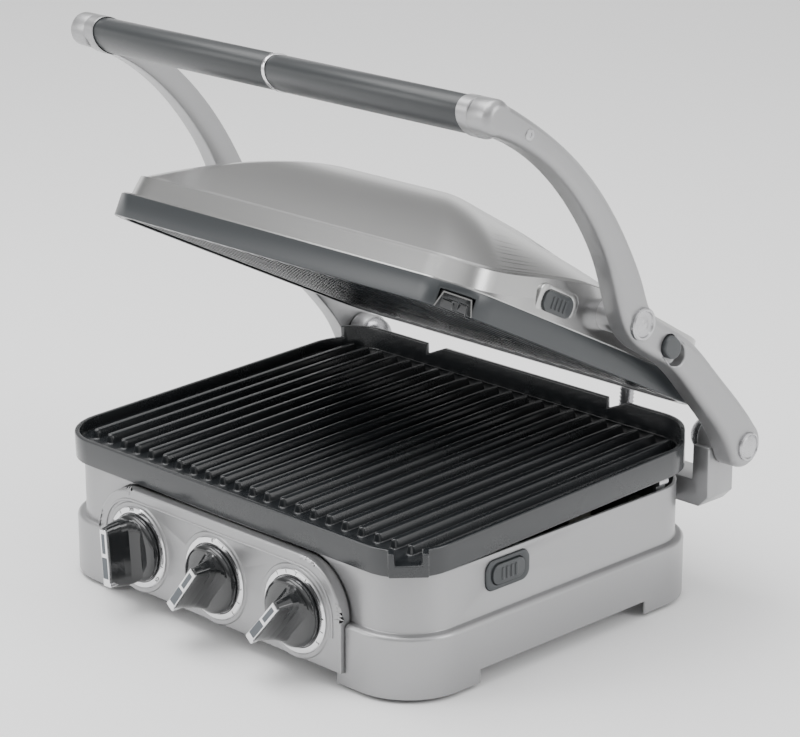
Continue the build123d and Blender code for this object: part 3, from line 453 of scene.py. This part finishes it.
for side in dial_sides:
    ring_low, ring_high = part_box("dial_ring_" + side)
    spot = facing_front((ring_low.x + ring_high.x) / 2, panel_face_y, (ring_low.z + ring_high.z) / 2,
                        knob_turns[side])
    rider = "knob_" + side
    bm = bmesh.new()
    height, length, width = blade_levels[0]
    blade = round_outline(bm, length / 2, -width / 2, width / 2, 0.0075, height, 6)
    for level in blade_levels[1:]:
        blade = raise_face(bm, blade, level[0] - height, (level[1] / length, level[2] / width))
        height, length, width = level
    bmesh.ops.recalc_face_normals(bm, faces=bm.faces)
    turned_base = bmesh.new()
    turned(turned_base, base_profile, 72)
    base_mesh = bpy.data.meshes.new("knob_base")
    turned_base.to_mesh(base_mesh)
    turned_base.free()
    bm.from_mesh(base_mesh)
    bmesh.ops.transform(bm, matrix=spot, verts=bm.verts)
    finished_piece(rider + "_body", bm, knob_black, rider, (rider,), 50)

    bm = bmesh.new()
    slab(bm, 0.0, strip_length, strip_width, 0.0240, strip_face, 0.0008)
    slab(bm, -strip_length / 2 + 0.0012, 0.0030, strip_width + 0.0008, 0.0185, strip_face - 0.0003, 0.0007)
    bmesh.ops.recalc_face_normals(bm, faces=bm.faces)
    bmesh.ops.transform(bm, matrix=spot, verts=bm.verts)
    finished_piece(rider + "_strip", bm, chrome, rider, (rider + "_trim",))

    bm = bmesh.new()
    slab(bm, strip_length * 0.25, 0.0122, 0.0030, strip_face - 0.0003, strip_face + 0.00012, 0.0004, 0.0001)
    slab(bm, -strip_length * 0.18, 0.0130, 0.0046, strip_face - 0.0003, strip_face + 0.00012, 0.0004, 0.0001)
    bmesh.ops.recalc_face_normals(bm, faces=bm.faces)
    bmesh.ops.transform(bm, matrix=spot, verts=bm.verts)
    finished_piece(rider + "_window", bm, smoked_chrome, rider)

# ---------------------------------------------------------------- lower plate and its clips
# Die-cast aluminium tray with a corner spout, sprayed with a black non-stick coat that shines
# softly on the crests of its ridges. Two spring clips hold it by the sides.
nonstick = finish(
    "nonstick_coat", (0.016, 0.018, 0.020), 0.27, ((1, 1, 1), 1400.0, 0.1, 0.03, 0.10), 0.0000008,
    Coat_Weight=0.35, Coat_Roughness=0.16,
)
eased("lower_grill_plate", nonstick, "base", 0.0008, 28, 3)
repaint(zinc, "lower_plate_clips")
element_scale = finish(
    "element_steel", (0.16, 0.15, 0.14), 0.5, ((1, 1, 1), 500.0, 0.3, 0.2, 0.1), 0.00003, Metallic=0.8,
)
repaint(element_scale, "lower_heating_element", "upper_heating_element")
moulding = finish(
    "cream_moulding", (0.62, 0.60, 0.54), 0.5, ((1, 1, 1), 900.0, 0.08, 0.08, 0.04), 0.00002,
)
repaint(moulding, "griddle_thermostat", "selector_switch", "grill_thermostat", "terminal_block")

# ---------------------------------------------------------------- hinge brackets and domes
# Cast brackets in the arms' silver paint, bolted behind the base, with plain metal domes that
# cover the inner ends of the hinge pins.
dome_metal = finish(
    "dome_metal", (0.33, 0.33, 0.34), 0.26, ((1, 1, 1), 500.0, 0.10, 0.10, 0.12), 0.00001, Metallic=1.0,
)
for side in ("left", "right"):
    eased("hinge_bracket_" + side, silver, "base", 0.0008)
    eased("hinge_dome_" + side, dome_metal, "base", 0.0004, 60)

# ---------------------------------------------------------------- arms
# Curved die-cast arms with round outer edges, in the body's silver paint. Turned caps with a
# grooved rim close the hinge and the lid pivot, and a small screw holds the handle's core.
for side in ("left", "right"):
    eased("arm_" + side, silver, "arms", 0.0009)

cap_metal = finish(
    "cap_metal", (0.50, 0.50, 0.51), 0.28, ((1, 1, 1), 700.0, 0.06, 0.08, 0.06), 0.00001, Metallic=0.9,
)
hinge_cap_profile = ((0.0086, -0.0006), (0.0086, 0.0012), (0.0080, 0.0019), (0.0074, 0.0019),
                     (0.0070, 0.0013), (0.0066, 0.0015), (0.0050, 0.0021), (0.0, 0.0024))
lid_cap_profile = ((0.0095, -0.0006), (0.0095, 0.0013), (0.0088, 0.0021), (0.0076, 0.0021), (0.0071, 0.0011),
                   (0.0066, 0.0010), (0.0030, 0.0014), (0.0022, 0.0018), (0.0, 0.0020))
screw_profile = ((0.0032, -0.0006), (0.0032, 0.0003), (0.0028, 0.0007), (0.0012, 0.0008), (0.0010, 0.0003),
                 (0.0, 0.0002))


def end_caps(name, profile, source):
    """Turned caps on the outer face of both arms, centred on a CAD node."""
    low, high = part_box(source)
    arm_face_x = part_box("arm_right")[1].x
    middle = (low + high) / 2
    bm = bmesh.new()
    turned(bm, profile, 56)
    bmesh.ops.rotate(bm, cent=(0, 0, 0), matrix=Matrix.Rotation(pi / 2, 3, "Y"), verts=bm.verts)
    bmesh.ops.translate(bm, vec=(arm_face_x, middle.y, middle.z), verts=bm.verts)
    bmesh.ops.mirror(bm, geom=bm.verts[:] + bm.edges[:] + bm.faces[:], axis="X", merge_dist=-1)
    bmesh.ops.recalc_face_normals(bm, faces=bm.faces)
    finished_piece(name, bm, cap_metal, "arms", (source,), 40)


end_caps("hinge_end_caps", hinge_cap_profile, "hinge_caps")
end_caps("lid_end_caps", lid_cap_profile, "lid_pivot_caps")
end_caps("handle_screw_heads", screw_profile, "handle_screws")

# ---------------------------------------------------------------- hinge release slider
# Grey moulded slide button in a rounded pocket of the right arm.
button_grey = finish(
    "button_grey", (0.045, 0.049, 0.052), 0.34, ((1, 1, 1), 900.0, 0.06, 0.06, 0.06), 0.00001,
)
eased("hinge_release_slider", button_grey, "release_slider", 0.0004)

# ---------------------------------------------------------------- handle
# Two dark grey oval grips on a steel rod, parted by a bright slanted ring, with silver collars
# where the grips run into the arms.
grip_grey = finish(
    "grip_grey", (0.028, 0.031, 0.033), 0.36, ((0.4, 1, 1), 800.0, 0.08, 0.08, 0.06), 0.00002,
)
for side in ("left", "right"):
    eased("handle_grip_" + side, grip_grey, "arms", 0.0012)
eased("handle_centre_ring", chrome, "arms", 0.0003)

grip_low, grip_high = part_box("handle_centre_ring")
grip_centre = (grip_low + grip_high) / 2
grip_lean = radians(33.0)
collar_long = 0.0153
collar_short = 0.0105
collar_width = 0.0085
bm = bmesh.new()
turned(bm, ((0.97, 0.0), (1.0, 0.06), (1.0, 0.94), (0.97, 1.0), (0.0, 1.0)), 48)
bmesh.ops.scale(bm, vec=(collar_short, collar_long, collar_width), verts=bm.verts)
bmesh.ops.rotate(bm, cent=(0, 0, 0), matrix=Matrix.Rotation(pi / 2, 3, "Y"), verts=bm.verts)
bmesh.ops.rotate(bm, cent=(0, 0, 0), matrix=Matrix.Rotation(-grip_lean, 3, "X"), verts=bm.verts)
collar_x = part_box("arm_right")[0].x - collar_width + 0.0008
bmesh.ops.translate(bm, vec=(collar_x, grip_centre.y, grip_centre.z), verts=bm.verts)
bmesh.ops.mirror(bm, geom=bm.verts[:] + bm.edges[:] + bm.faces[:], axis="X", merge_dist=-1)
bmesh.ops.recalc_face_normals(bm, faces=bm.faces)
finished_piece("handle_collars", bm, silver, "arms")

# ---------------------------------------------------------------- lid band and upper plate
# A charcoal moulded band carries the upper plate; a thin strip of bright steel along its top edge is a
# painted highlight, standing for the reflection that runs along that edge.
# Its front right corner has a drain notch lined with bright sheet.
charcoal = finish(
    "charcoal_band", (0.026, 0.030, 0.033), 0.30, ((1, 1, 1), 1100.0, 0.06, 0.06, 0.06), 0.00001,
    Coat_Weight=0.15, Coat_Roughness=0.2,
)
lid_tilt = radians(26.6)
pivot_low, pivot_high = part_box("lid_pivot_caps")
lid_pivot = (pivot_low + pivot_high) / 2
lid_place = Matrix.Translation((0, lid_pivot.y, lid_pivot.z)) @ Matrix.Rotation(-lid_tilt, 4, "X")
lid_half_width = 0.150
lid_front = -0.128
lid_rear = 0.112
lid_corner = 0.030
band_high = -0.0162

eased("lid_band", charcoal, "lid", 0.0006)
eased("upper_grill_plate", nonstick, "lid", 0.0006)

lid_steel = finish(
    "brushed_lid_steel", (0.47, 0.47, 0.465), 0.24, ((0.02, 1, 1), 1500.0, 0.05, 0.06, 0.05), 0.000001,
    Metallic=1.0,
)
# Painted highlight: this bright steel strip on the band's top edge stands in for the reflection along that
# edge.
bm = bmesh.new()
highlight_strip_inset = 0.0011
highlight_strip_width = 0.0022
highlight_strip_height = 0.0010
lip = round_outline(bm, lid_half_width - highlight_strip_inset, lid_front + highlight_strip_inset, lid_rear - highlight_strip_inset,
                    lid_corner - highlight_strip_inset, band_high - 0.0003, 12)
bmesh.ops.inset_region(bm, faces=[lip], thickness=highlight_strip_width, use_even_offset=True, use_boundary=True)
bmesh.ops.delete(bm, geom=[lip], context="FACES_ONLY")
grown = bmesh.ops.extrude_face_region(bm, geom=bm.faces[:])["geom"]
highlight_strip_top = [point for point in grown if isinstance(point, bmesh.types.BMVert)]
bmesh.ops.translate(bm, vec=(0, 0, highlight_strip_height), verts=highlight_strip_top)
bmesh.ops.recalc_face_normals(bm, faces=bm.faces)
bmesh.ops.transform(bm, matrix=lid_place, verts=bm.verts)
finished_piece("band_highlight_strip", bm, lid_steel, "lid")

spout_out = 45.0            # the drain notch faces the front right corner
spout_profile = ((-0.0108, -0.0302), (-0.0080, -0.0212), (0.0080, -0.0212), (0.0108, -0.0302))
spout_depth = 0.0068
spout_middle = Vector((lid_half_width, lid_front, 0)) + Vector((-1, 1, 0)) * lid_corner * (1 - cos(pi / 4))
bm = bmesh.new()
rail = [bm.verts.new((across, -0.0063, height)) for across, height in spout_profile]
rail_edges = [bm.edges.new(pair) for pair in zip(rail, rail[1:])]
grown = bmesh.ops.extrude_edge_only(bm, edges=rail_edges)["geom"]
spout_back = [point for point in grown if isinstance(point, bmesh.types.BMVert)]
bmesh.ops.translate(bm, vec=(0, spout_depth, 0), verts=spout_back)
bmesh.ops.recalc_face_normals(bm, faces=bm.faces)
bmesh.ops.solidify(bm, geom=bm.faces[:], thickness=0.0008)
bmesh.ops.recalc_face_normals(bm, faces=bm.faces)
spout_place = Matrix.Translation(spout_middle) @ Matrix.Rotation(radians(180 + spout_out), 4, "Z")
bmesh.ops.transform(bm, matrix=lid_place @ spout_place, verts=bm.verts)
finished_piece("lid_spout_lining", bm, lid_steel, "lid", (), 25)

# ---------------------------------------------------------------- lid cover
# One drawing of brushed steel: a slightly tapered wall, a crease that sweeps upwards along the
# sides, and a domed crown with a shallow leaf-shaped hollow on each side towards the rear.
cover_inset = 0.0036
cover_half = lid_half_width - cover_inset
cover_depth = (lid_rear - lid_front) / 2 - cover_inset
cover_middle = (lid_rear + lid_front) / 2
crown_reach = 0.69          # share of the way to the middle over which the crown climbs
crown_bulge = 1.47


def smooth(value):
    """Smooth step from 0 to 1."""
    value = min(max(value, 0.0), 1.0)
    return value * value * (3 - 2 * value)


def crease_height(y):
    """Height of the crease at a place along the lid's side."""
    return -0.0030 + 0.0155 * smooth((y + 0.122) / 0.117) - 0.057 * max(y, 0.0)


def crown_height(x, y, shrink):
    """Height of the crown over a point of an outline shrunk towards the middle."""
    climb = 1 - (1 - min(1.0, (1 - shrink) / crown_reach)) ** crown_bulge
    edge_y = cover_middle + (y - cover_middle) / shrink
    peak = 0.0430 - 0.589 * (y + 0.124) ** 2
    hollow_line = 0.066 + 0.30 * (y + 0.040)
    beyond = abs(x) - hollow_line
    hollow = 0.0034 * smooth(beyond / 0.007) * smooth((y + 0.045) / 0.070) * smooth((0.046 - beyond) / 0.040)
    return crease_height(edge_y) * (1 - climb) + peak * climb - hollow


bm = bmesh.new()
round_outline(bm, cover_half, cover_middle - cover_depth, cover_middle + cover_depth, 0.0264,
              band_high - 0.0004, 10)
long_edges = [edge for edge in bm.edges if edge.calc_length() > 0.05]
bmesh.ops.subdivide_edges(bm, edges=long_edges, cuts=44)
bm.faces.ensure_lookup_table()
level = bm.faces[0]
half, depth = cover_half, cover_depth
# wall and crease loops: inset from the wall's foot, and height relative to the crease
for inset, drop in ((0.0016, -0.0120), (0.0029, -0.0012), (0.0030, -0.0003), (0.0033, 0.0),
                    (0.0037, -0.0002), (0.0039, -0.0013), (0.0044, -0.0013), (0.0049, -0.0002),
                    (0.0056, 0.0004)):
    new_half, new_depth = cover_half - inset, cover_depth - inset
    level = raise_face(bm, level, 0.0, (new_half / half, new_depth / depth))
    half, depth = new_half, new_depth
    for point in level.verts:
        height = crease_height(cover_middle + (point.co.y - cover_middle) * cover_depth / depth)
        point.co.z = max(height + drop, band_high + 0.0004)
shrink = 1.0
crown_loops = 70
crown_seat = 0.0006         # the crown starts this far above the crease
for step in range(1, crown_loops + 1):
    target = 1.0 - 0.97 * (step / crown_loops) ** 1.15
    level = raise_face(bm, level, 0.0, (target / shrink, target / shrink))
    shrink = target
    for point in level.verts:
        point.co.z = crown_height(point.co.x, point.co.y, shrink) + crown_seat
bmesh.ops.poke(bm, faces=[level])
bmesh.ops.recalc_face_normals(bm, faces=bm.faces)
bmesh.ops.transform(bm, matrix=lid_place, verts=bm.verts)
finished_piece("lid_cover", bm, lid_steel, "lid", ("lid_shell",), 30)

# ---------------------------------------------------------------- plate release buttons
# Grey moulded push buttons with upright finger bars. The lower one sits in a grey bezel, the
# upper one in a bezel of the lid's own steel.
eased("lower_button_bezel", charcoal, "base", 0.0004)
eased("upper_button_bezel", lid_steel, "lid", 0.0004)
eased("lower_release_button", button_grey, "lower_button", 0.0003)
eased("upper_release_button", button_grey, "upper_button", 0.0003)

# ---------------------------------------------------------------- conduit
# Flexible steel conduit, wound from strip so that its surface is a row of fine ribs. It leaves
# an elbow on the base, bows up behind the plates and enters a nut in the lid's rear wall.
conduit_low, conduit_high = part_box("lid_conduit")
conduit_x = (conduit_low.x + conduit_high.x) / 2
conduit_radius = (conduit_high.x - conduit_low.x) / 2
elbow_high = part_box("conduit_gland_lower")[1]
elbow_wall = 0.0015
conduit_y = elbow_high.y - conduit_radius - elbow_wall
conduit_rise = 0.026        # straight stretch above the elbow
nut_mouth = 0.1070          # where the conduit enters the lid's nut, in the lid's own frame
nut_straight = 0.0195
nut_height = -0.007
conduit_route = (
    Vector((conduit_x, conduit_y, conduit_low.z)),
    Vector((conduit_x, conduit_y, elbow_high.z + conduit_rise)),
    lid_place @ Vector((conduit_x, nut_mouth + nut_straight, nut_height)),
    lid_place @ Vector((conduit_x, nut_mouth, nut_height)),
)
rib_pitch = 0.0024
rib_depth = 0.0007
line_data = bpy.data.curves.new("conduit_line", "CURVE")
line_data.dimensions = "3D"
line_data.resolution_u = 24
spline = line_data.splines.new("NURBS")
spline.points.add(len(conduit_route) - 1)
for point, place in zip(spline.points, conduit_route):
    point.co = (*place, 1.0)
spline.order_u = 3
spline.use_endpoint_u = True
line = bpy.data.objects.new("conduit_line", line_data)
bpy.context.scene.collection.objects.link(line)
bpy.context.view_layer.update()
line_mesh = bpy.data.meshes.new_from_object(line.evaluated_get(bpy.context.evaluated_depsgraph_get()))
centres = [point.co.copy() for point in line_mesh.vertices]
bpy.data.objects.remove(line)
lengths = [0.0]
for before, after in zip(centres, centres[1:]):
    lengths.append(lengths[-1] + (after - before).length)


def along_line(distance):
    """Point and heading of the conduit's centre line at a distance from its start."""
    for place in range(len(centres) - 1):
        if distance <= lengths[place + 1] or place == len(centres) - 2:
            run = centres[place + 1] - centres[place]
            share = (distance - lengths[place]) / (lengths[place + 1] - lengths[place])
            return centres[place] + run * share, run.normalized()


bm = bmesh.new()
rib_count = int(lengths[-1] / rib_pitch)
previous = None
for ring in range(2 * rib_count + 1):
    centre, heading = along_line(ring * lengths[-1] / (2 * rib_count))
    tip = Matrix.Rotation(-pi / 2 + Vector((0, 1, 0)).angle(heading), 4, "X")
    if heading.z < 0:
        tip = Matrix.Rotation(-pi / 2 - Vector((0, 1, 0)).angle(heading), 4, "X")
    radius = conduit_radius - (rib_depth if ring % 2 else 0.0)
    verts = bmesh.ops.create_circle(bm, segments=20, radius=radius,
                                    matrix=Matrix.Translation(centre) @ tip)["verts"]
    loop = list({edge for point in verts for edge in point.link_edges})
    if previous:
        bmesh.ops.bridge_loops(bm, edges=previous + loop)
    previous = loop
bmesh.ops.holes_fill(bm, edges=[edge for edge in bm.edges if edge.is_boundary])
bmesh.ops.recalc_face_normals(bm, faces=bm.faces)
conduit = finished_piece("conduit_hose", bm, dome_metal, None, ("lid_conduit",), 60)
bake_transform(conduit)

# ---------------------------------------------------------------- rear fittings
# A ribbed cord gland in pale moulding, and the grey elbow and nut that hold the conduit.
pale_gland = finish(
    "pale_gland", (0.52, 0.52, 0.50), 0.5, ((1, 1, 1), 900.0, 0.06, 0.06, 0.04), 0.00002,
)
repaint(pale_gland, "cord_gland")
eased("conduit_gland_lower", button_grey, "base", 0.0005)
repaint(button_grey, "conduit_gland_upper")
